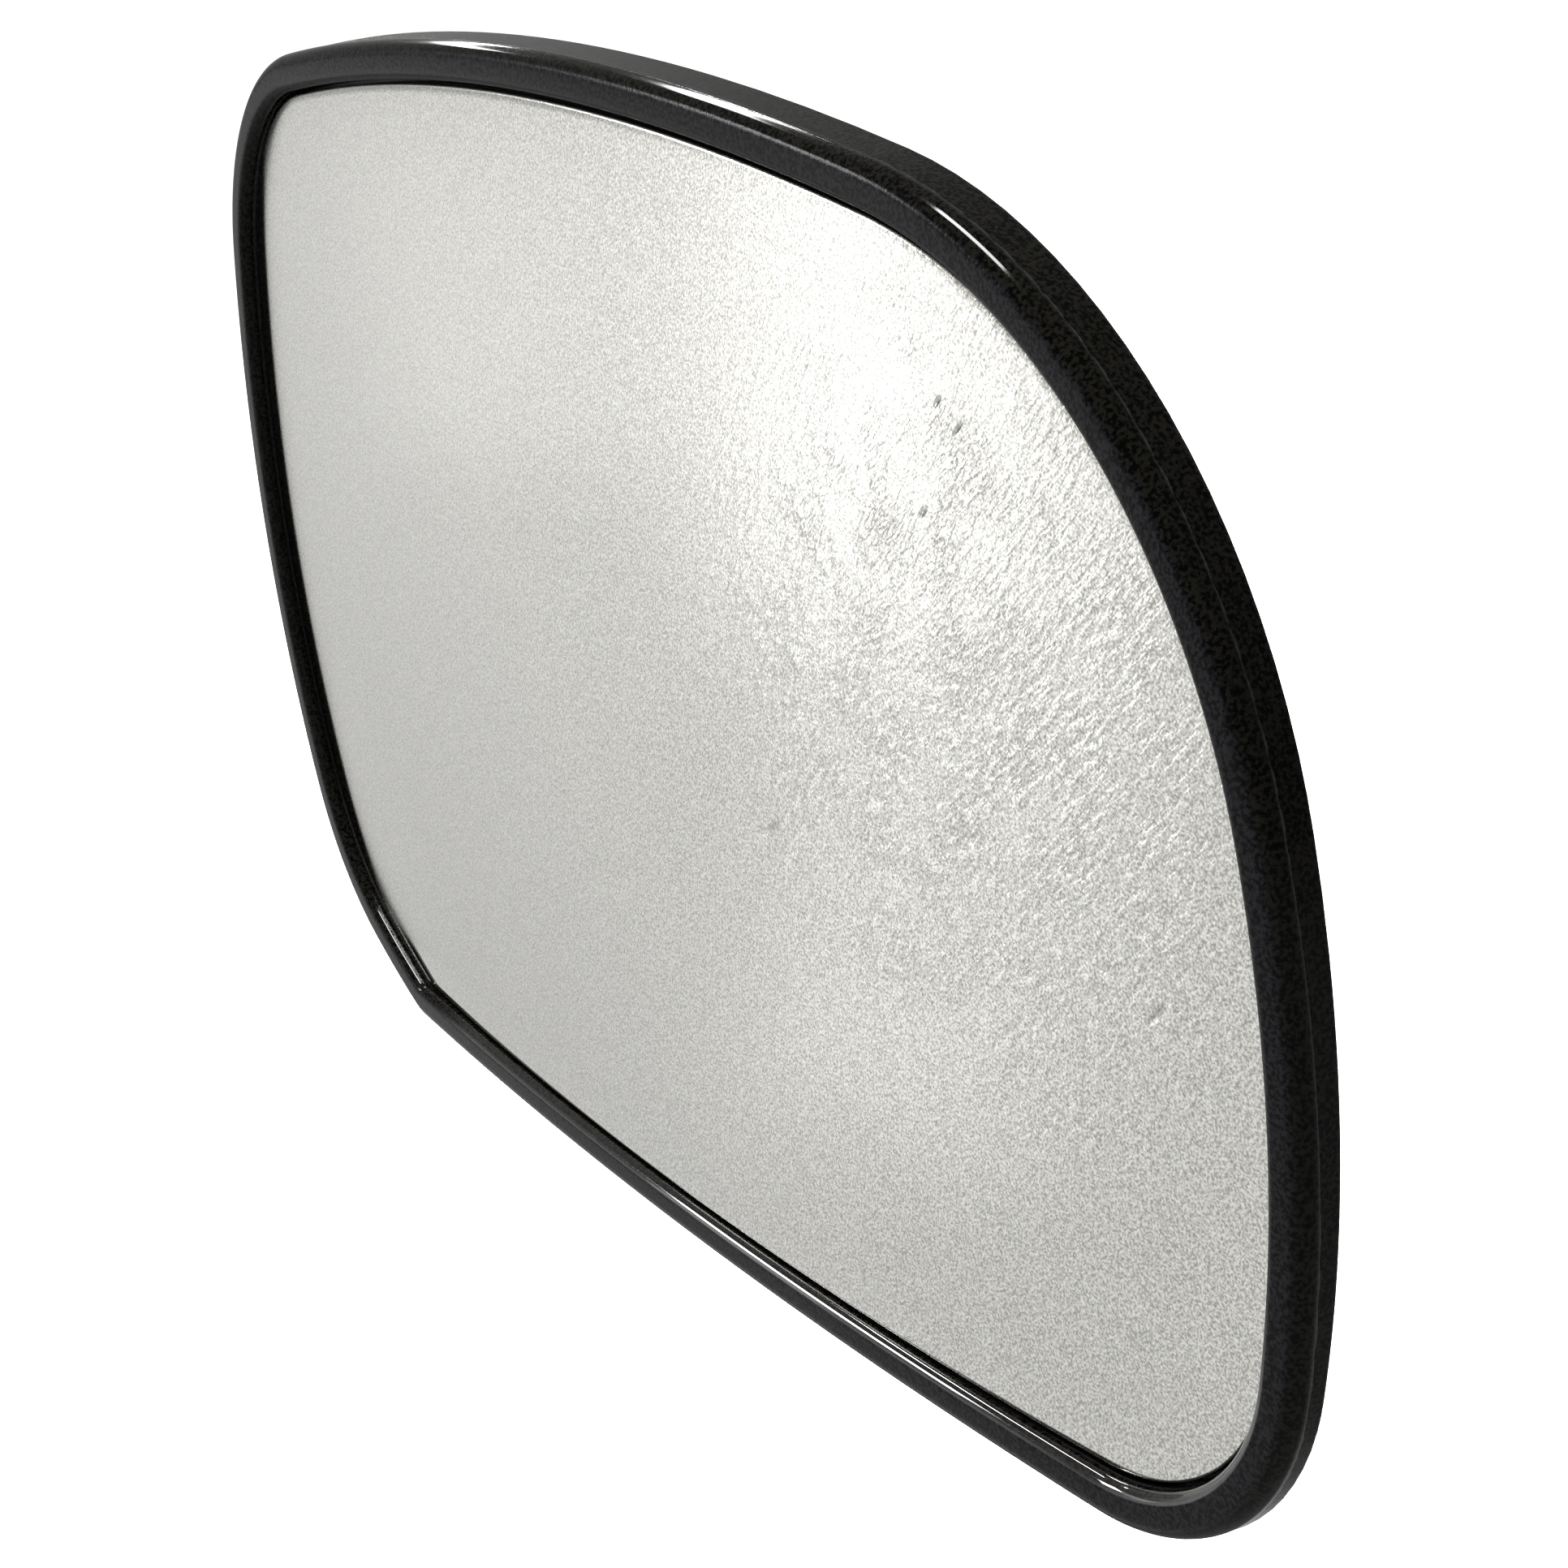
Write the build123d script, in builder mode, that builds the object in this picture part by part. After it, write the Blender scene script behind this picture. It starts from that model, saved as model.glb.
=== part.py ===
import os
from math import hypot

from build123d import *

os.makedirs("parts", exist_ok=True)

# Opening in the rim, seen from the front: its corners before rounding
opening_length = 189.7
opening_height = 110.7
right_lean = 14.7
shoulder_drop = 8.0
left_lean = 9.8
cut_length = 21.3
cut_height = 11.8

# Where the collar's axis passes the opening
axis_from_left = 97.6
axis_from_bottom = 57.3

# How far each edge of the opening bows outwards, and the radius that rounds each corner
top_bow = 9.8
right_bow = 12.2
bottom_bow = 2.3
cut_bow = 0.6
left_bow = 8.8
top_left_radius = 25.0
shoulder_radius = 60.8
bottom_right_radius = 23.0
cut_foot_radius = 4.0
cut_head_radius = 31.0

# Convex glass and the adhesive sheet behind it
glass_radius = 1400.0
glass_thickness = 2.0
glass_bevel = 0.4
glass_clearance = 0.5
pad_thickness = 0.6
pad_inset = 2.0

# Moulded plate: a tray behind the glass, and the rim round it
floor_thickness = 2.0
tray_wall = 1.4
tray_chamfer = 1.0
rim_radius = 2000.0
rim_crown = 0.6
rim_width = 3.9
rim_draft = 6.0
rim_depth = 4.2
rim_tilt = 1.3
rim_outer_round = 1.8
rim_inner_chamfer = 1.0

# Clip collar on the back: a bore with a snap groove, slit into spring fingers, one slit wide as a key
collar_bore = 60.0
collar_wall = 2.2
collar_height = 9.0
collar_chamfer = 0.6
groove_depth = 0.8
groove_width = 2.4
groove_setback = 1.8
slit_count = 8
slit_width = 2.4
slit_root = 2.0
key_width = 6.5

# Ribs on the back
rib_thickness = 1.5
rib_height = 3.0
ribs_per_finger = 2
edge_rib_share = 0.88

# Levels along the collar's axis: the face looks along -Y, and the origin is halfway along the collar
collar_mouth = collar_height / 2
floor_back = collar_mouth - collar_height
floor_front = floor_back - floor_thickness
glass_back = floor_front - pad_thickness
glass_front = glass_back - glass_thickness
rim_front = glass_front - rim_crown
rib_back = floor_back + rib_height

# Corners of the opening in the front view
left = -axis_from_left
right = left + opening_length
bottom = -axis_from_bottom
top = bottom + opening_height
top_left = (left, top)
top_right = (right - right_lean, top - shoulder_drop)
bottom_right = (right, bottom)
cut_foot = (left + left_lean + cut_length, bottom)
cut_head = (left + left_lean, bottom + cut_height)
corners = (top_left, top_right, bottom_right, cut_foot, cut_head)
bows = (top_bow, right_bow, bottom_bow, cut_bow, left_bow)
radii = (top_left_radius, shoulder_radius, bottom_right_radius, cut_foot_radius, cut_head_radius)

# Depth that the outlines are extruded through: it runs past every level at every corner
corner_reach = max(hypot(*corner) for corner in corners) + max(bows) + rim_width
block_front = rim_front - rim_depth
block_back = rib_back + corner_reach**2 / glass_radius
block_depth = block_back - block_front

collar_radius = collar_bore / 2
collar_outside = collar_radius + collar_wall
rib_count = slit_count * ribs_per_finger
rib_front = floor_back - floor_thickness / 2

# The rim's round and chamfer stay inside its width
outer_round = min(rim_outer_round, rim_width / 2)
inner_chamfer = min(rim_inner_chamfer, rim_width / 3)


def at_level(y):
    """Plane of the front view at a level along the collar's axis."""
    return Plane.XZ.offset(-y)


def behind_glass(level):
    """Radius of the sphere at a level that shares the glass's centre."""
    return glass_front + glass_radius - level


def between(face, front, front_radius, back, back_radius):
    """Solid with the outline of a face, between spheres that cross the axis at the front and back levels."""
    with BuildPart() as body:
        with BuildSketch(at_level(block_back)):
            add(face)
        extrude(amount=block_depth)
        with Locations((0, front + front_radius, 0)):
            Sphere(front_radius, mode=Mode.INTERSECT)
        with Locations((0, back + back_radius, 0)):
            Sphere(back_radius, mode=Mode.SUBTRACT)
    return body.part


# Outline of the opening: five bowed edges between rounded corners
with BuildSketch() as opening:
    with BuildLine():
        for start, end, bow in zip(corners, corners[1:] + corners[:1], bows):
            SagittaArc(start, end, bow)
    make_face()
    for corner, radius in zip(corners, radii):
        fillet(opening.vertices().sort_by_distance((*corner, 0))[0], radius=radius)


def outline(growth, share=1.0):
    """Outline of the opening scaled by a share, with each arc then grown about its own centre."""
    with BuildSketch() as grown:
        with BuildLine():
            for edge in opening.edges():
                centre = edge.arc_center * share
                spread = share + growth / edge.radius
                ThreePointArc(*[centre + (edge @ t - edge.arc_center) * spread for t in (0, 0.5, 1)])
        make_face()
    return grown.sketch


# Rim: a drafted ring whose face is flatter than the glass, deeper along the top than along the bottom
rim_outline = outline(rim_width)
with BuildPart() as rim:
    with BuildSketch(at_level(block_back)):
        add(rim_outline)
    extrude(amount=block_depth)
    draft(rim.faces().filter_by(Axis.Y, reverse=True), at_level(rim_front), rim_draft)
    with Locations((0, rim_front + rim_radius, 0)):
        Sphere(rim_radius, mode=Mode.INTERSECT)
    with Locations(Location((0, rim_front, 0), (-rim_tilt, 0, 0))):
        with Locations((0, rim_depth + rim_radius, 0)):
            Sphere(rim_radius, mode=Mode.SUBTRACT)

# Tray: a wall round the glass and a floor that follows its curve
tray_body = between(
    outline(tray_wall), rim_front + rim_depth / 2, rim_radius, floor_back, behind_glass(floor_back)
)
with BuildPart() as tray:
    add(tray_body)
    tray_back = tray.faces().filter_by(GeomType.SPHERE).sort_by(Axis.Y)[-1]
    chamfer(tray_back.outer_wire().edges(), length=tray_chamfer)

# Pocket for the glass, open to the front
pocket_body = between(opening.sketch, block_front, rim_radius, floor_front, behind_glass(floor_front))

# Ribs: one round the edge and a fan from the collar, standing evenly above the floor
edge_rib_outside = outline(0.0, share=edge_rib_share)
edge_rib_middle = outline(-rib_thickness / 2, share=edge_rib_share)
edge_rib_inside = outline(-rib_thickness, share=edge_rib_share)
with BuildSketch() as edge_rib:
    add(edge_rib_outside)
    add(edge_rib_inside, mode=Mode.SUBTRACT)

with BuildSketch() as rib_faces:
    with PolarLocations(0, rib_count, start_angle=180 / rib_count):
        Rectangle(corner_reach, rib_thickness, align=(Align.MIN, Align.CENTER))
    Circle(collar_radius + collar_wall / 2, mode=Mode.SUBTRACT)
    add(edge_rib_middle, mode=Mode.INTERSECT)
    add(edge_rib.sketch)

rib_body = between(rib_faces.sketch, rib_front, behind_glass(rib_front), rib_back, behind_glass(rib_back))

# Clip collar
with BuildPart() as collar:
    with BuildSketch(at_level(collar_mouth)):
        Circle(collar_outside)
        Circle(collar_radius, mode=Mode.SUBTRACT)
    extrude(amount=collar_height + floor_thickness / 2)
    chamfer(collar.faces().sort_by(Axis.Y)[-1].outer_wire().edges(), length=collar_chamfer)
    with BuildSketch(at_level(collar_mouth - groove_setback)):
        Circle(collar_radius + groove_depth)
    extrude(amount=groove_width, mode=Mode.SUBTRACT)
    with BuildSketch(at_level(collar_mouth)):
        with PolarLocations(collar_radius, slit_count, start_angle=90):
            Rectangle(4 * collar_wall, slit_width)
        with Locations((0, collar_radius)):
            Rectangle(key_width, 4 * collar_wall)
    extrude(amount=collar_height - slit_root, mode=Mode.SUBTRACT)

# Backing plate: rim, tray, ribs and collar in one moulding
with BuildPart() as backing_plate:
    add(rim.part)
    add(tray.part)
    add(pocket_body, mode=Mode.SUBTRACT)
    rim_face = backing_plate.faces().filter_by(GeomType.SPHERE).sort_by(Axis.Y)[0]
    fillet(rim_face.outer_wire().edges(), radius=outer_round)
    rim_face = backing_plate.faces().filter_by(GeomType.SPHERE).sort_by(Axis.Y)[0]
    chamfer(rim_face.inner_wires()[0].edges(), length=inner_chamfer)
    add(rib_body)
    add(collar.part)
backing_plate.part.label = "backing_plate"
export_step(backing_plate.part, "parts/backing_plate.step")

# Adhesive sheet between the floor and the glass
pad_body = between(
    outline(-pad_inset), glass_back, behind_glass(glass_back), floor_front, behind_glass(floor_front)
)
with BuildPart() as adhesive_pad:
    add(pad_body)
adhesive_pad.part.label = "adhesive_pad"
export_step(adhesive_pad.part, "parts/adhesive_pad.step")

# Convex mirror glass with a bevelled edge
glass_body = between(
    outline(-glass_clearance), glass_front, glass_radius, glass_back, behind_glass(glass_back)
)
with BuildPart() as mirror_glass:
    add(glass_body)
    glass_face = mirror_glass.faces().filter_by(GeomType.SPHERE).sort_by(Axis.Y)[0]
    chamfer(glass_face.outer_wire().edges(), length=glass_bevel)
mirror_glass.part.label = "mirror_glass"
export_step(mirror_glass.part, "parts/mirror_glass.step")
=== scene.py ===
import math
import bpy
from mathutils import Matrix, Vector


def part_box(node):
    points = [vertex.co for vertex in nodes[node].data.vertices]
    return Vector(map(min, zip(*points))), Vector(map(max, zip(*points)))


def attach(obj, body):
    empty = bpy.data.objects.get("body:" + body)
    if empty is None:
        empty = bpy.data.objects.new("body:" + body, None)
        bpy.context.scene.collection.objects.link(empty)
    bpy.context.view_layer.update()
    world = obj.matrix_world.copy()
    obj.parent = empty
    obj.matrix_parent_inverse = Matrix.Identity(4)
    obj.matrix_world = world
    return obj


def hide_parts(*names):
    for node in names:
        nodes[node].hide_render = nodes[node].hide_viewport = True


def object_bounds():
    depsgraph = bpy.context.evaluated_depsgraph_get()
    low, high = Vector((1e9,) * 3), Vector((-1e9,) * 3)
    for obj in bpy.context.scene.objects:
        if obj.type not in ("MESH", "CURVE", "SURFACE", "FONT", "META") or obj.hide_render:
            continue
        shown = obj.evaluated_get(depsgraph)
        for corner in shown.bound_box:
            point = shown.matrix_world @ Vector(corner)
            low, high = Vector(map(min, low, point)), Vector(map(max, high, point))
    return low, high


MM = 0.001

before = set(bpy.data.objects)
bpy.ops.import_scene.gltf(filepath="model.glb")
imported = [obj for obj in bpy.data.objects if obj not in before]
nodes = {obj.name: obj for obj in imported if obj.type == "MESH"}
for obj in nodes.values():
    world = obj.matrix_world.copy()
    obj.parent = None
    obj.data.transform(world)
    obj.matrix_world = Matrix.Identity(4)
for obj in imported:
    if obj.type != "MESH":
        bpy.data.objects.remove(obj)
cad_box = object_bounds()
scene = bpy.context.scene
scene.view_settings.view_transform = "Standard"


# Camera at the photograph's viewpoint
CAMERA_AT = Vector((252.54, -141.69, 84.93)) * MM
CAMERA_LOOK = Vector((-0.8115, 0.4864, -0.3238)).normalized()
CAMERA_UP = Vector((-0.2462, 0.2178, 0.9444))
FOCAL_PIXELS = 3500
FRAME_PIXELS = 1932
SENSOR_WIDTH = 36
CLIP_START = 10 * MM


def add_camera():
    right = CAMERA_LOOK.cross(CAMERA_UP).normalized()
    up = right.cross(CAMERA_LOOK)
    data = bpy.data.cameras.new("camera")
    data.sensor_width = SENSOR_WIDTH
    data.lens = SENSOR_WIDTH * FOCAL_PIXELS / FRAME_PIXELS
    data.clip_start = CLIP_START
    camera = bpy.data.objects.new("camera", data)
    camera.matrix_world = Matrix((right, up, -CAMERA_LOOK)).transposed().to_4x4()
    camera.location = CAMERA_AT
    scene.collection.objects.link(camera)
    scene.camera = camera


# Shader helpers: each adds a node to a tree and gives the socket that it puts out
def new_material(name):
    material = bpy.data.materials.new(name)
    material.use_nodes = True
    tree = material.node_tree
    return material, tree, tree.nodes["Principled BSDF"]


def object_place(tree):
    return tree.nodes.new("ShaderNodeTexCoord").outputs["Object"]


def object_normal(tree):
    return tree.nodes.new("ShaderNodeTexCoord").outputs["Normal"]


def part_of(tree, vector, axis):
    node = tree.nodes.new("ShaderNodeSeparateXYZ")
    tree.links.new(vector, node.inputs["Vector"])
    return node.outputs[axis]


def measured_along(tree, place, direction, unit=1.0):
    node = tree.nodes.new("ShaderNodeVectorMath")
    node.operation = "DOT_PRODUCT"
    node.inputs[1].default_value = Vector(direction) / unit
    tree.links.new(place, node.inputs[0])
    return node.outputs["Value"]


def distance_to(tree, place, centre):
    node = tree.nodes.new("ShaderNodeVectorMath")
    node.operation = "DISTANCE"
    node.inputs[1].default_value = centre
    tree.links.new(place, node.inputs[0])
    return node.outputs["Value"]


def grain(tree, place, size, detail=2.0):
    node = tree.nodes.new("ShaderNodeTexNoise")
    node.inputs["Scale"].default_value = 1 / size
    node.inputs["Detail"].default_value = detail
    tree.links.new(place, node.inputs["Vector"])
    return node.outputs["Fac"]


def ramp(tree, value, low, high, start=0.0, end=1.0):
    node = tree.nodes.new("ShaderNodeMapRange")
    node.inputs["From Min"].default_value = start
    node.inputs["From Max"].default_value = end
    node.inputs["To Min"].default_value = low
    node.inputs["To Max"].default_value = high
    tree.links.new(value, node.inputs["Value"])
    return node.outputs["Result"]


def smooth_share(tree, value, start, end):
    node = tree.nodes.new("ShaderNodeMapRange")
    node.interpolation_type = "SMOOTHSTEP"
    node.inputs["From Min"].default_value = start
    node.inputs["From Max"].default_value = end
    tree.links.new(value, node.inputs["Value"])
    return node.outputs["Result"]


def combined(tree, operation, values):
    """Numbers taken together by one operation, the first two and then each next one."""
    result = values[0]
    for value in values[1:]:
        node = tree.nodes.new("ShaderNodeMath")
        node.operation = operation
        tree.links.new(result, node.inputs[0])
        tree.links.new(value, node.inputs[1])
        result = node.outputs["Value"]
    return result


def multiply(tree, *values):
    return combined(tree, "MULTIPLY", values)


def total(tree, *values):
    return combined(tree, "ADD", values)


def blend(tree, share, first, second):
    """Number between two, each a constant or a socket."""
    node = tree.nodes.new("ShaderNodeMix")
    tree.links.new(share, node.inputs["Factor"])
    for socket, value in (("A", first), ("B", second)):
        if isinstance(value, float):
            node.inputs[socket].default_value = value
        else:
            tree.links.new(value, node.inputs[socket])
    return node.outputs["Result"]


def tint(tree, value, dark, light, start=0.0, end=1.0):
    node = tree.nodes.new("ShaderNodeValToRGB")
    node.color_ramp.elements[0].position = start
    node.color_ramp.elements[0].color = (*dark, 1)
    node.color_ramp.elements[1].position = end
    node.color_ramp.elements[1].color = (*light, 1)
    tree.links.new(value, node.inputs["Fac"])
    return node.outputs["Color"]


def mix_colours(tree, share, first, second):
    node = tree.nodes.new("ShaderNodeMix")
    node.data_type = "RGBA"
    tree.links.new(share, node.inputs["Factor"])
    tree.links.new(first, node.inputs["A"])
    tree.links.new(second, node.inputs["B"])
    return node.outputs["Result"]


def scaled(tree, colour, scale):
    node = tree.nodes.new("ShaderNodeVectorMath")
    node.operation = "SCALE"
    tree.links.new(colour, node.inputs["Vector"])
    tree.links.new(scale, node.inputs["Scale"])
    return node.outputs["Vector"]


BEVEL_SAMPLES = 6


def soft_edges(tree, radius):
    node = tree.nodes.new("ShaderNodeBevel")
    node.samples = BEVEL_SAMPLES
    node.inputs["Radius"].default_value = radius
    return node.outputs["Normal"]


def bump(tree, height, depth, below=None):
    node = tree.nodes.new("ShaderNodeBump")
    node.inputs["Distance"].default_value = depth
    tree.links.new(height, node.inputs["Height"])
    if below:
        tree.links.new(below, node.inputs["Normal"])
    return node.outputs["Normal"]


# Pale floor, white where it is looked at, and a grey room above it
WHITE = (1, 1, 1, 1)
FLOOR_COLOUR = (0.85, 0.85, 0.85, 1)
FLOOR_ROUGHNESS = 0.9
FLOOR_DROP = 150 * MM
FLOOR_SIDE = 16
GLOW_NEAR = 0.3
GLOW_FAR = 0.75
GLOW_REACH = 2.5
ROOM_LIGHT = 0.4


def add_floor():
    half = FLOOR_SIDE / 2
    level = cad_box[0][2] - FLOOR_DROP
    mesh = bpy.data.meshes.new("floor")
    corners = [(-half, -half, level), (half, -half, level), (half, half, level), (-half, half, level)]
    mesh.from_pydata(corners, [], [(0, 1, 2, 3)])
    floor = bpy.data.objects.new("floor", mesh)
    scene.collection.objects.link(floor)
    mesh.materials.append(floor_paint())


def floor_paint():
    material, tree, paint = new_material("floor_paint")
    paint.inputs["Base Color"].default_value = FLOOR_COLOUR
    paint.inputs["Roughness"].default_value = FLOOR_ROUGHNESS
    paint.inputs["Specular IOR Level"].default_value = 0.0
    paint.inputs["Emission Color"].default_value = WHITE
    path = tree.nodes.new("ShaderNodeLightPath")
    away = distance_to(tree, object_place(tree), (0, 0, 0))
    glow = ramp(tree, away, GLOW_NEAR, GLOW_FAR, 0, GLOW_REACH)
    tree.links.new(multiply(tree, glow, path.outputs["Is Camera Ray"]), paint.inputs["Emission Strength"])

    # metal and glass see the floor as plain white
    mirrored = combined(tree, "MAXIMUM", (path.outputs["Is Glossy Ray"], path.outputs["Is Transmission Ray"]))
    white = tree.nodes.new("ShaderNodeEmission")
    mix = tree.nodes.new("ShaderNodeMixShader")
    tree.links.new(mirrored, mix.inputs["Fac"])
    tree.links.new(paint.outputs["BSDF"], mix.inputs[1])
    tree.links.new(white.outputs["Emission"], mix.inputs[2])
    tree.links.new(mix.outputs["Shader"], tree.nodes["Material Output"].inputs["Surface"])
    return material


def add_room():
    world = bpy.data.worlds.new("room")
    world.use_nodes = True
    background = world.node_tree.nodes["Background"]
    background.inputs["Color"].default_value = WHITE
    background.inputs["Strength"].default_value = ROOM_LIGHT
    scene.world = world


# Lamps: the direction of each from the object, the edge it shows in, how far it runs along and across
# that edge, its radiance, and how far away it stands
FAR = 1.5
NEAR = 0.45
NEAREST = 0.3
ALONG_X = (1, 0, 0)
ALONG_SHOULDER = (0.89, 0, -0.45)


def add_lamp(name, direction, edge, along, across, radiance, distance=FAR):
    away = Vector(direction).normalized()
    crossing = Vector(edge).cross(away).normalized()
    data = bpy.data.lights.new(name, "AREA")
    data.shape = "RECTANGLE"
    data.size = along
    data.size_y = across
    data.energy = radiance * math.pi * along * across
    lamp = bpy.data.objects.new(name, data)
    lamp.matrix_world = Matrix((crossing.cross(away), crossing, away)).transposed().to_4x4()
    lamp.location = away * distance
    lamp.visible_camera = False
    scene.collection.objects.link(lamp)


def add_lamps():
    add_lamp("top_left_strip", (-0.89, 0.10, 0.43), ALONG_X, 0.05, 0.6, 50)
    add_lamp("top_strip", (-0.737, 0.11, 0.667), ALONG_X, 0.14, 0.6, 55)
    add_lamp("shoulder_strip", (-0.25, -0.26, 0.93), ALONG_SHOULDER, 0.40, 0.3, 150)
    add_lamp("bottom_strip", (-0.74, -0.60, 0.30), ALONG_X, 0.21, 0.3, 40)
    add_lamp("face_box", (-0.74, -0.672, -0.02), ALONG_X, 0.06, 0.20, 1.95, NEAR)
    add_lamp("face_glow", (-0.80, -0.60, -0.02), ALONG_X, 0.30, 0.12, 0.25, NEAR)
    add_lamp("face_low", (-0.62, -0.716, -0.32), ALONG_X, 0.08, 0.20, 0.38, NEAREST)


# Outline of the opening in the rim, as the solids have it, in mm: corners before rounding, clockwise in
# the front view, with each corner's radius and the bow of the edge that follows it
CORNERS = (
    ((-97.6, 53.4), 25.0, 9.8),  # top left
    ((77.4, 45.4), 60.8, 12.2),  # shoulder
    ((92.1, -57.3), 23.0, 2.3),  # bottom right
    ((-66.5, -57.3), 4.0, 0.6),  # foot of the cut corner
    ((-87.8, -45.5), 31.0, 8.8),  # head of the cut corner
)
OUTLINE_STEP = 1.0 * MM
OUTLINE_TURN = math.radians(3)

# Places of the bottom and left edges among the outline's arcs
BOTTOM_EDGE = 5
LEFT_EDGE = 9


def bowed_edge(start, end, bow):
    """Centre and radius of the arc that bows outwards from a clockwise edge."""
    along = end - start
    radius = (along.length_squared / 4 + bow * bow) / (2 * bow)
    inwards = Vector((along.y, -along.x)).normalized()
    return (start + end) / 2 + inwards * (radius - bow), radius


def corner_round(corner, before, after, radius):
    """Centre of the round that touches the arcs before and after a corner from inside."""
    first, second = before[0], after[0]
    from_first, from_second = before[1] - radius, after[1] - radius
    across = second - first
    along = (across.length_squared + from_first ** 2 - from_second ** 2) / (2 * across.length)
    aside = math.sqrt(from_first ** 2 - along ** 2)
    foot = first + across.normalized() * along
    sideways = Vector((-across.y, across.x)).normalized() * aside
    return min((foot + sideways, foot - sideways), key=lambda centre: (centre - corner).length)


def outline_arcs():
    """Arcs of the outline in order, each corner's round and then the edge after it: centre, radius, and the
    outward directions where the arc starts and ends."""
    count = len(CORNERS)
    points = [Vector(place) * MM for place, _, _ in CORNERS]
    radii = [radius * MM for _, radius, _ in CORNERS]
    bows = [bow * MM for _, _, bow in CORNERS]
    edges = [bowed_edge(points[i], points[(i + 1) % count], bows[i]) for i in range(count)]
    rounds = [corner_round(points[i], edges[i - 1], edges[i], radii[i]) for i in range(count)]
    arcs = []
    for i in range(count):
        enters = rounds[i] - edges[i - 1][0]
        leaves = rounds[i] - edges[i][0]
        ends = rounds[(i + 1) % count] - edges[i][0]
        arcs.append((rounds[i], radii[i], enters, leaves))
        arcs.append((*edges[i], leaves, ends))
    return arcs


def outline_stations():
    """Stations round the outline: an arc's centre, its radius and the outward direction."""
    stations = []
    for centre, radius, start, end in outline_arcs():
        first = math.atan2(start.y, start.x)
        turn = (math.atan2(end.y, end.x) - first + math.pi) % math.tau - math.pi
        steps = math.ceil(max(abs(turn) * radius / OUTLINE_STEP, abs(turn) / OUTLINE_TURN))
        for k in range(steps):
            angle = first + turn * k / steps
            stations.append((centre, radius, Vector((math.cos(angle), math.sin(angle)))))
    return stations


def grown(station, growth):
    """Point of the outline grown by a width, in the front view."""
    centre, radius, outward = station
    return centre + outward * (radius + growth)


def crowned(point, front, radius):
    """Level of a sphere that crosses the axis at front."""
    return front + radius - math.sqrt(radius * radius - point.length_squared)


# Mesh helpers
def arc_between(corner, first, second, radius, steps):
    """Points of the round that replaces a profile's corner, from its first side to its second."""
    half = first.angle(second) / 2
    centre = corner + (first + second).normalized() * (radius / math.sin(half))
    start = corner + first * (radius / math.tan(half)) - centre
    end = corner + second * (radius / math.tan(half)) - centre
    turn = math.atan2(start.x * end.y - start.y * end.x, start.dot(end))
    points = []
    for k in range(steps + 1):
        share = turn * k / steps
        cosine, sine = math.cos(share), math.sin(share)
        spoke = Vector((start.x * cosine - start.y * sine, start.x * sine + start.y * cosine))
        points.append(centre + spoke)
    return points


def ring_mesh(name, loops, closed):
    """Mesh of quads between loops of equally many points: a closed ring, or a body with a fan at each end."""
    around = len(loops[0])
    vertices = [point for loop in loops for point in loop]
    faces = []
    for k in range(len(loops) if closed else len(loops) - 1):
        low = k * around
        high = (k + 1) % len(loops) * around
        for i in range(around):
            j = (i + 1) % around
            faces.append((low + i, low + j, high + j, high + i))
    if not closed:
        last = (len(loops) - 1) * around
        for start, loop, step in ((0, loops[0], -1), (last, loops[-1], 1)):
            middle = len(vertices)
            vertices.append(sum((Vector(point) for point in loop), Vector()) / around)
            for i in range(around):
                faces.append((start + i, start + (i + step) % around, middle))
    mesh = bpy.data.meshes.new(name)
    mesh.from_pydata(vertices, [], faces)
    mesh.shade_smooth()
    piece = bpy.data.objects.new(name, mesh)
    scene.collection.objects.link(piece)
    return piece


def set_piece(piece, material):
    piece.data.materials.append(material)
    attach(piece, "root")


# Silvered face
GLASS_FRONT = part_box("mirror_glass")[0].y
GLASS_RADIUS = 1400 * MM
GLASS_THICKNESS = 2.0 * MM
GLASS_CLEARANCE = 0.5 * MM
GLASS_ROUND = 0.4 * MM
GLASS_ROUND_STEPS = 4
GLASS_RINGS = 90
BACK_RINGS = 10


def face_point(point, depth):
    return (point.x, crowned(point, GLASS_FRONT, GLASS_RADIUS) + depth, point.y)


def mirror_face(stations):
    """Convex glass with a rounded edge, closed at the back."""
    def ring(inset, depth, share=1.0):
        return [face_point(grown(s, -GLASS_CLEARANCE - inset) * share, depth) for s in stations]

    loops = [ring(GLASS_ROUND, GLASS_THICKNESS, k / BACK_RINGS) for k in range(1, BACK_RINGS + 1)]
    loops.append(ring(0.0, GLASS_THICKNESS - GLASS_ROUND))
    for k in range(GLASS_ROUND_STEPS + 1):
        turn = math.pi / 2 * k / GLASS_ROUND_STEPS
        loops.append(ring(GLASS_ROUND * (1 - math.cos(turn)), GLASS_ROUND * (1 - math.sin(turn))))
    loops += [ring(GLASS_ROUND, 0.0, 1 - k / GLASS_RINGS) for k in range(1, GLASS_RINGS)]
    piece = ring_mesh("mirror_face", loops, closed=False)
    set_piece(piece, silver())
    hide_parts("mirror_glass")


# Visible skin of the rim, a hair proud of the solid: inner wall, rounded inner edge, lip, outer round, wall
RIM_FRONT = GLASS_FRONT - 0.6 * MM
RIM_RADIUS = 2000 * MM
RIM_WIDTH = 3.9 * MM
RIM_DRAFT = math.radians(6)
RIM_OUTER_ROUND = 1.8 * MM
RIM_OUTER_STEPS = 10
RIM_INNER_ROUND = 1.1 * MM
RIM_INNER_STEPS = 8
LIP_SHARES = (0.35, 0.45)
SKIN = 0.05 * MM
SKIN_DEPTH = 2.3 * MM
SKIN_ROOT = 0.6 * MM


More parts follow.
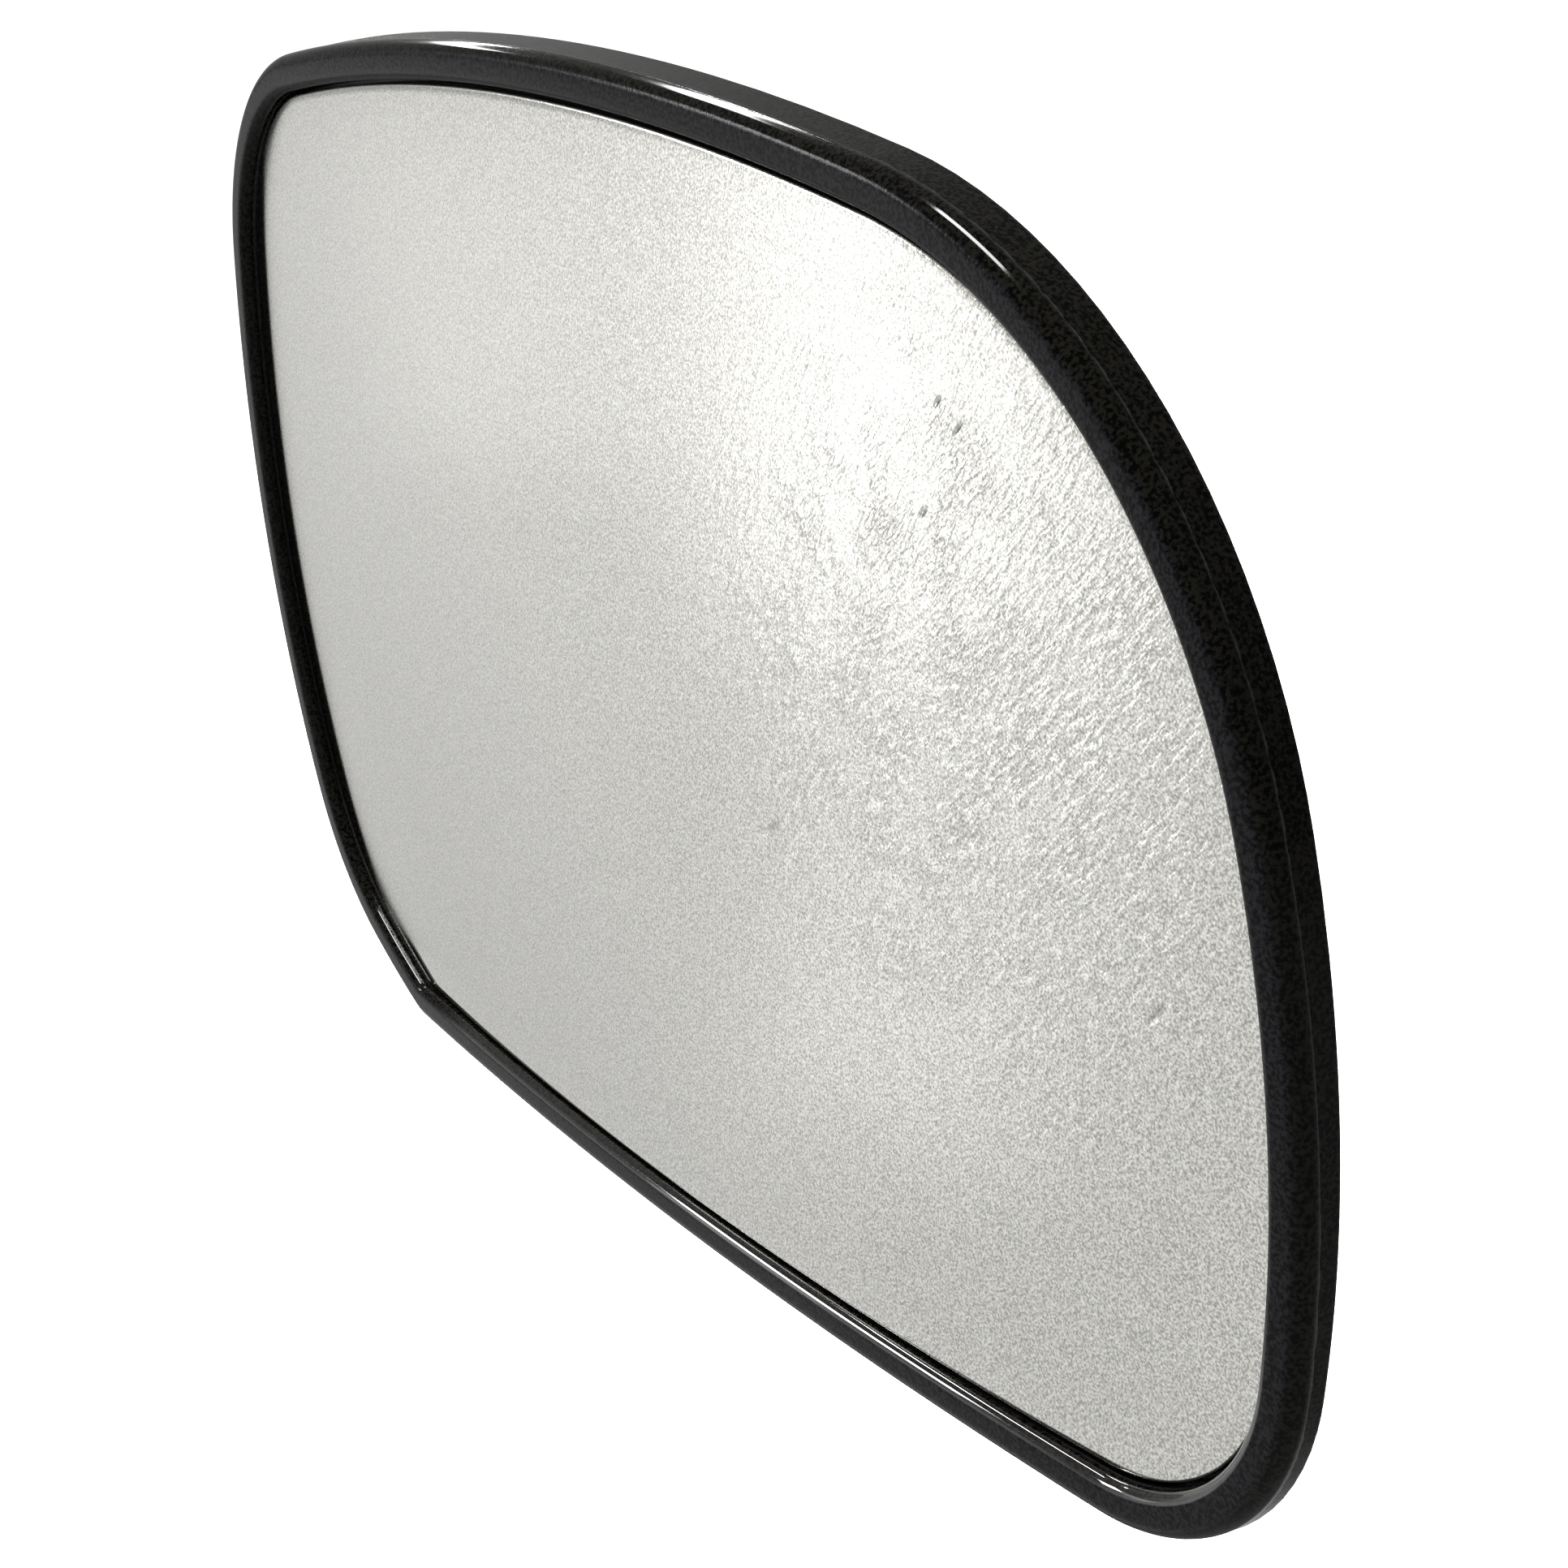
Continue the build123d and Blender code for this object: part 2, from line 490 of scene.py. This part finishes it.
def rim_section(station):
    """Closed section of the skin at a station: growth from the opening, and level."""
    def lip(growth):
        return crowned(grown(station, growth), RIM_FRONT, RIM_RADIUS) - SKIN

    inside = Vector((-SKIN, lip(-SKIN)))
    outside = Vector((RIM_WIDTH + SKIN, lip(RIM_WIDTH)))
    outside.x += (outside.y - RIM_FRONT) * math.tan(RIM_DRAFT)
    along = (outside - inside).normalized()
    backwards = Vector((0, 1))
    drafted = Vector((math.tan(RIM_DRAFT), 1)).normalized()
    section = [inside + backwards * SKIN_DEPTH]
    section += arc_between(inside, backwards, along, RIM_INNER_ROUND, RIM_INNER_STEPS)
    section += [inside.lerp(outside, share) for share in LIP_SHARES]
    section += arc_between(outside, -along, drafted, RIM_OUTER_ROUND, RIM_OUTER_STEPS)
    foot = outside + drafted * SKIN_DEPTH
    section.append(Vector((foot.x - 2 * SKIN, foot.y)))
    section.append(Vector((foot.x - SKIN_ROOT, foot.y)))
    section.append(inside + Vector((SKIN_ROOT, SKIN_DEPTH)))
    return section


def rim_skin(stations, plastic):
    sections = [rim_section(station) for station in stations]
    loops = []
    for k in range(len(sections[0])):
        loop = []
        for station, section in zip(stations, sections):
            point = grown(station, section[k].x)
            loop.append((point.x, section[k].y, point.y))
        loops.append(loop)
    piece = ring_mesh("rim_skin", loops, closed=True)
    set_piece(piece, plastic)


# Marks on the silvering: wrinkles towards the right, drawn along a slant, in patches round a centre
SLANT = math.radians(43)
WRINKLE_CENTRE = (60 * MM, 0, 10 * MM)
WRINKLE_REACH = 55 * MM
WRINKLE_LENGTH = 2.2 * MM
WRINKLE_WIDTH = 0.8 * MM
WRINKLE_DEPTH = 0.1 * MM
WRINKLE_SPAN = (0.4, 0.65)
# painted shading of the wrinkles: the colour darker in their hollows and lighter on their crests
WRINKLE_PAINTED_SHADING = (0.8, 1.2)
PATCH_SIZE = 7 * MM
PATCH_SPAN = (0.38, 0.62)
PATCH_LEAST = 0.2

# Small dents and scratches along the same slant, in mm: centre in the front view, length and width
DENTS = (
    ((27.9, -8.8), 2.4, 0.7),
    ((84.2, -10.2), 2.2, 0.7),
    ((60.1, 35.3), 1.5, 0.35),
    ((57.4, 37.2), 0.9, 0.35),
    ((55.0, 27.3), 1.0, 0.45),
)
DENT_DEPTH = 0.15 * MM
# painted shade: the colour darkened inside the dents
DENT_PAINTED_SHADE = 0.65


def slanted(tree, place, length, width):
    """Coordinates that run along and across the slant in units of a length and a width."""
    node = tree.nodes.new("ShaderNodeCombineXYZ")
    along = (math.cos(SLANT), 0, math.sin(SLANT))
    across = (-math.sin(SLANT), 0, math.cos(SLANT))
    tree.links.new(measured_along(tree, place, along, length), node.inputs["X"])
    tree.links.new(measured_along(tree, place, across, width), node.inputs["Y"])
    return node.outputs["Vector"]


def wrinkle_height(tree, place):
    drawn_out = slanted(tree, place, WRINKLE_LENGTH, WRINKLE_WIDTH)
    return smooth_share(tree, grain(tree, drawn_out, 1.0), *WRINKLE_SPAN)


def wrinkle_share(tree, place):
    """How far the silvering is wrinkled, from 0 to 1."""
    around = smooth_share(tree, distance_to(tree, place, WRINKLE_CENTRE), WRINKLE_REACH, 0.0)
    patches = ramp(tree, grain(tree, place, PATCH_SIZE), PATCH_LEAST, 1.0, *PATCH_SPAN)
    return multiply(tree, around, patches)


def dent(tree, place, centre, length, width):
    """Height of a slanted hollow: nothing outside it, -1 at its middle."""
    spot = slanted(tree, place, length * MM, width * MM)
    x, z = centre
    u = (x * math.cos(SLANT) + z * math.sin(SLANT)) / length
    v = (z * math.cos(SLANT) - x * math.sin(SLANT)) / width
    return ramp(tree, smooth_share(tree, distance_to(tree, spot, (u, v, 0)), 1.0, 0.0), 0.0, -1.0)


# The haze on the silvering clears beside the rim
HAZE_SIZE = 20 * MM
HAZE_ROUGHNESS = (0.19, 0.23)
CLEAR_WIDTH = 6 * MM
CLEAR_ROUGHNESS = 0.04


def beside_rim(tree, place):
    """Share that is 1 along the bottom and left edges of the outline and 0 further in."""
    arcs = outline_arcs()
    shares = []
    for centre, radius, _, _ in (arcs[BOTTOM_EDGE], arcs[LEFT_EDGE]):
        away = distance_to(tree, place, (centre.x, 0, centre.y))
        shares.append(smooth_share(tree, away, radius - CLEAR_WIDTH, radius - CLEAR_WIDTH / 2))
    return total(tree, *shares)


# Silver: its grain is quiet at the left and lively at the right, and turned, so that no plane of the noise
# lies along the glass and shows as rings on it
SILVER_GRAIN = 0.26 * MM
SILVER_GRAIN_DEPTH = 0.01 * MM
SILVER_GRAIN_TURN = (0.6, 0.4, 0.5)
WIDE_SPAN = (0.35, 0.65)
QUIET_TONES = ((0.43, 0.425, 0.402), (0.665, 0.66, 0.627))
LIVELY_TONES = ((0.335, 0.33, 0.308), (0.76, 0.755, 0.718))
QUIET_TO_LIVELY = (-60 * MM, 60 * MM)

# Painted shade: the silver's colour is darkened low down, and towards the lower left
LOW_PAINTED_SHADE = 0.9
LOW_PAINTED_SHADE_RANGE = (-55 * MM, 5 * MM)
LEFT_PAINTED_SHADE = 0.86
LEFT_PAINTED_SHADE_DIRECTION = (1, 0, 0.8)
LEFT_PAINTED_SHADE_RANGE = (-90 * MM, -20 * MM)


def turned(tree, place):
    node = tree.nodes.new("ShaderNodeVectorRotate")
    node.rotation_type = "EULER_XYZ"
    node.inputs["Rotation"].default_value = SILVER_GRAIN_TURN
    tree.links.new(place, node.inputs["Vector"])
    return node.outputs["Vector"]


def silver_tone(tree, place, fine):
    quiet = tint(tree, fine, *QUIET_TONES, *WIDE_SPAN)
    lively = tint(tree, fine, *LIVELY_TONES, *WIDE_SPAN)
    rightwards = smooth_share(tree, part_of(tree, place, "X"), *QUIET_TO_LIVELY)
    return mix_colours(tree, rightwards, quiet, lively)


def silver_painted_shade(tree, place, wrinkles, wrinkled, hollows):
    """What the tone is multiplied by at each place: painted shading of the wrinkles, painted shade in the
    dents, and painted shade low down and towards the lower left.
    """
    # painted shade, darker low down and towards the lower left
    painted_low_shade = ramp(tree, part_of(tree, place, "Z"), LOW_PAINTED_SHADE, 1.0, *LOW_PAINTED_SHADE_RANGE)
    painted_left_shade = ramp(tree, measured_along(tree, place, LEFT_PAINTED_SHADE_DIRECTION), LEFT_PAINTED_SHADE, 1.0, *LEFT_PAINTED_SHADE_RANGE)
    # painted shading of the wrinkles, on top of their bump
    painted_wrinkle_shading = blend(tree, wrinkled, 1.0, ramp(tree, wrinkles, *WRINKLE_PAINTED_SHADING))
    # painted shade in the dents
    dents = ramp(tree, hollows, DENT_PAINTED_SHADE, 1.0, -1.0, 0.0)
    return multiply(tree, painted_wrinkle_shading, dents, painted_low_shade, painted_left_shade)


def silver():
    material, tree, shader = new_material("mirror")
    place = object_place(tree)
    fine = grain(tree, turned(tree, place), SILVER_GRAIN)
    wrinkles = wrinkle_height(tree, place)
    wrinkled = wrinkle_share(tree, place)
    hollows = total(tree, *[dent(tree, place, *sizes) for sizes in DENTS])
    clear = beside_rim(tree, place)

    shader.inputs["Metallic"].default_value = 1.0
    # painted shade multiplied into the silver's colour
    shade = silver_painted_shade(tree, place, wrinkles, wrinkled, hollows)
    tree.links.new(scaled(tree, silver_tone(tree, place, fine), shade), shader.inputs["Base Color"])
    hazy = ramp(tree, grain(tree, place, HAZE_SIZE), *HAZE_ROUGHNESS)
    tree.links.new(blend(tree, clear, hazy, CLEAR_ROUGHNESS), shader.inputs["Roughness"])

    wavy = bump(tree, multiply(tree, wrinkles, wrinkled), WRINKLE_DEPTH)
    dented = bump(tree, hollows, DENT_DEPTH, wavy)
    hazy_grain = multiply(tree, fine, ramp(tree, clear, 1.0, 0.0))
    tree.links.new(bump(tree, hazy_grain, SILVER_GRAIN_DEPTH, dented), shader.inputs["Normal"])
    return material


# Moulded plastic: tones and roughness of the rim's walls, lip and rounds, and of the back
PLASTIC_GRAIN = 0.4 * MM
PLASTIC_GRAIN_DETAIL = 3
PLASTIC_GRAIN_DEPTH = 0.03 * MM
PLASTIC_SPECULAR = 0.05
NARROW_SPAN = (0.42, 0.58)
WALL_TONES = ((0.0002, 0.0002, 0.0001), (0.0055, 0.0052, 0.0041))
LIP_TONES = ((0.0002, 0.0002, 0.0003), (0.0063, 0.0063, 0.0075))
BACK_TONES = ((0.024, 0.024, 0.025), (0.042, 0.042, 0.043))
WALL_ROUGHNESS = 0.22
LIP_ROUGHNESS = 0.24
EDGE_ROUGHNESS = 0.08
DULL_EDGE_ROUGHNESS = 0.5
BACK_ROUGHNESS = 0.4
PLATE_EDGE = 0.3 * MM

# The inner edge has a gloss along the bottom, right of the cut corner
COAT_ROUGHNESS = 0.04
COAT_WEIGHT = 0.9
PAST_CUT = (-62 * MM, -50 * MM)

# Where the surface counts as lip, rounded edge or back, by how far it looks along Y, or by its depth
LIP_LOOK = (-0.87, -0.975)
EDGE_LOOK = (-0.12, -0.25)
BACK_LOOK = (0.2, 0.6)
BACK_FROM = (-3.0 * MM, -1.5 * MM)

# Where it looks up, where it looks towards the axis, and where it is above the bottom edge
UP_LOOK = (0.05, 0.3)
INNER_LOOK = (0.0, -10 * MM)
UPPER_FROM = (-45 * MM, -30 * MM)


def looks_inwards(tree, place, normal):
    node = tree.nodes.new("ShaderNodeVectorMath")
    node.operation = "DOT_PRODUCT"
    tree.links.new(normal, node.inputs[0])
    tree.links.new(place, node.inputs[1])
    return smooth_share(tree, node.outputs["Value"], *INNER_LOOK)


def plastic_tone(tree, fine, lip, behind):
    wall_tone = tint(tree, fine, *WALL_TONES, *NARROW_SPAN)
    lip_tone = tint(tree, fine, *LIP_TONES, *NARROW_SPAN)
    back_tone = tint(tree, fine, *BACK_TONES, *WIDE_SPAN)
    return mix_colours(tree, behind, mix_colours(tree, lip, wall_tone, lip_tone), back_tone)


def plastic_roughness(tree, lip, edge, polished, behind):
    rounds = blend(tree, polished, DULL_EDGE_ROUGHNESS, EDGE_ROUGHNESS)
    sides = blend(tree, edge, WALL_ROUGHNESS, rounds)
    seen = blend(tree, lip, sides, LIP_ROUGHNESS)
    return blend(tree, behind, seen, BACK_ROUGHNESS)


def black_plastic(name, edge_radius=None):
    material, tree, shader = new_material(name)
    place = object_place(tree)
    normal = object_normal(tree)
    front = part_of(tree, normal, "Y")
    lip = smooth_share(tree, front, *LIP_LOOK)
    edge = smooth_share(tree, front, *EDGE_LOOK)
    deep = smooth_share(tree, part_of(tree, place, "Y"), *BACK_FROM)
    behind = total(tree, smooth_share(tree, front, *BACK_LOOK), deep)
    inner = looks_inwards(tree, place, normal)
    upper = smooth_share(tree, part_of(tree, place, "Z"), *UPPER_FROM)
    looks_up = smooth_share(tree, part_of(tree, normal, "Z"), *UP_LOOK)
    polished = multiply(tree, looks_up, ramp(tree, multiply(tree, inner, upper), 1.0, 0.0))
    fine = grain(tree, place, PLASTIC_GRAIN, PLASTIC_GRAIN_DETAIL)

    tree.links.new(plastic_tone(tree, fine, lip, behind), shader.inputs["Base Color"])
    tree.links.new(plastic_roughness(tree, lip, edge, polished, behind), shader.inputs["Roughness"])
    shader.inputs["Specular IOR Level"].default_value = PLASTIC_SPECULAR
    past_cut = smooth_share(tree, part_of(tree, place, "X"), *PAST_CUT)
    coat = multiply(tree, inner, ramp(tree, upper, COAT_WEIGHT, 0.0), past_cut)
    tree.links.new(coat, shader.inputs["Coat Weight"])
    shader.inputs["Coat Roughness"].default_value = COAT_ROUGHNESS

    rounded = soft_edges(tree, edge_radius) if edge_radius else None
    textured = multiply(tree, fine, total(tree, lip, ramp(tree, edge, 1.0, 0.0)))
    tree.links.new(bump(tree, textured, PLASTIC_GRAIN_DEPTH, rounded), shader.inputs["Normal"])
    return material


# Foam of the pad behind the glass
FOAM_CELL = 0.6 * MM
FOAM_CELL_DETAIL = 4
FOAM_DEPTH = 0.1 * MM
FOAM_SPAN = (0.3, 0.7)
FOAM_TONES = ((0.02, 0.02, 0.021), (0.05, 0.05, 0.052))
FOAM_ROUGHNESS = 0.9


def foam():
    material, tree, shader = new_material("adhesive")
    cells = grain(tree, object_place(tree), FOAM_CELL, FOAM_CELL_DETAIL)
    tree.links.new(tint(tree, cells, *FOAM_TONES, *FOAM_SPAN), shader.inputs["Base Color"])
    shader.inputs["Roughness"].default_value = FOAM_ROUGHNESS
    tree.links.new(bump(tree, cells, FOAM_DEPTH), shader.inputs["Normal"])
    return material


def dress(node, material):
    node.data.materials.clear()
    node.data.materials.append(material)


add_camera()
add_floor()
add_room()
add_lamps()
stations = outline_stations()
mirror_face(stations)
rim_skin(stations, black_plastic("rim_plastic"))
dress(nodes["backing_plate"], black_plastic("plate_plastic", PLATE_EDGE))
dress(nodes["adhesive_pad"], foam())
